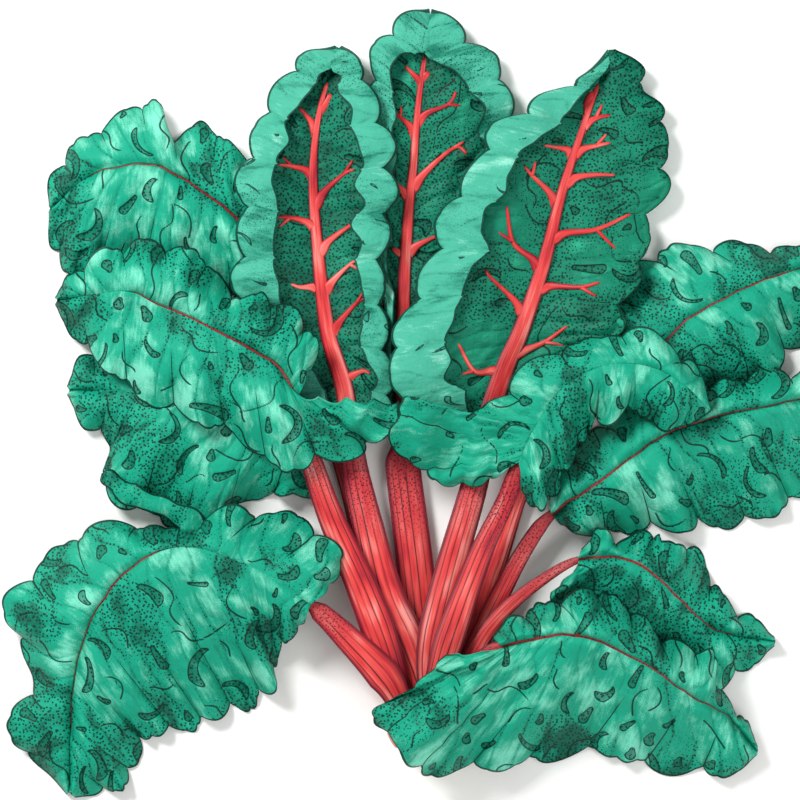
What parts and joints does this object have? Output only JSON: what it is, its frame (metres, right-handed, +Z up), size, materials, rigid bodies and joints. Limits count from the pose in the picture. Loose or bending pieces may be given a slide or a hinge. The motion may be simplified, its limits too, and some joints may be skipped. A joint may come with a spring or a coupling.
{
  "type": "swiss chard bunch",
  "caption": "Bunch of red-stemmed Swiss chard as picked, ruffled green leaves fanned out from one crown and laid flat on a surface.",
  "frame": {"origin": "on the surface the bunch lies on, under the middle of its bounding box", "axes": "+X across the bunch, to the right as the picture shows it; +Y from the crown to the tips of the tall leaves; +Z up from the surface"},
  "size_m": [0.5426, 0.4902, 0.0678],
  "materials": {
    "crown_heel": "matte, pale pink plant heel",
    "red_stem": "satin, ribbed coral red stalk",
    "green_blade": "satin, puckered jade green leaf",
    "dark_blade": "satin, puckered dark green leaf"
  },
  "bodies": {
    "root": {"crown": "crown_heel", "tall_left_stem": "red_stem", "tall_left_blade": "dark_blade", "tall_middle_stem": "red_stem", "tall_middle_blade": "dark_blade", "tall_right_stem": "red_stem", "tall_right_blade": "dark_blade", "side_left_upper_stem": "red_stem", "side_left_upper_blade": "green_blade", "side_left_middle_stem": "red_stem", "side_left_middle_blade": "green_blade", "side_left_lower_stem": "red_stem", "side_left_lower_blade": "green_blade", "bottom_left_stem": "red_stem", "bottom_left_blade": "green_blade", "bottom_right_stem": "red_stem", "bottom_right_blade": "green_blade", "side_right_lower_stem": "red_stem", "side_right_lower_blade": "green_blade", "side_right_middle_stem": "red_stem", "side_right_middle_blade": "green_blade", "side_right_upper_stem": "red_stem", "side_right_upper_blade": "green_blade", "front_fold_stem": "red_stem", "front_fold_blade": "green_blade"}
  },
  "joints": []
}
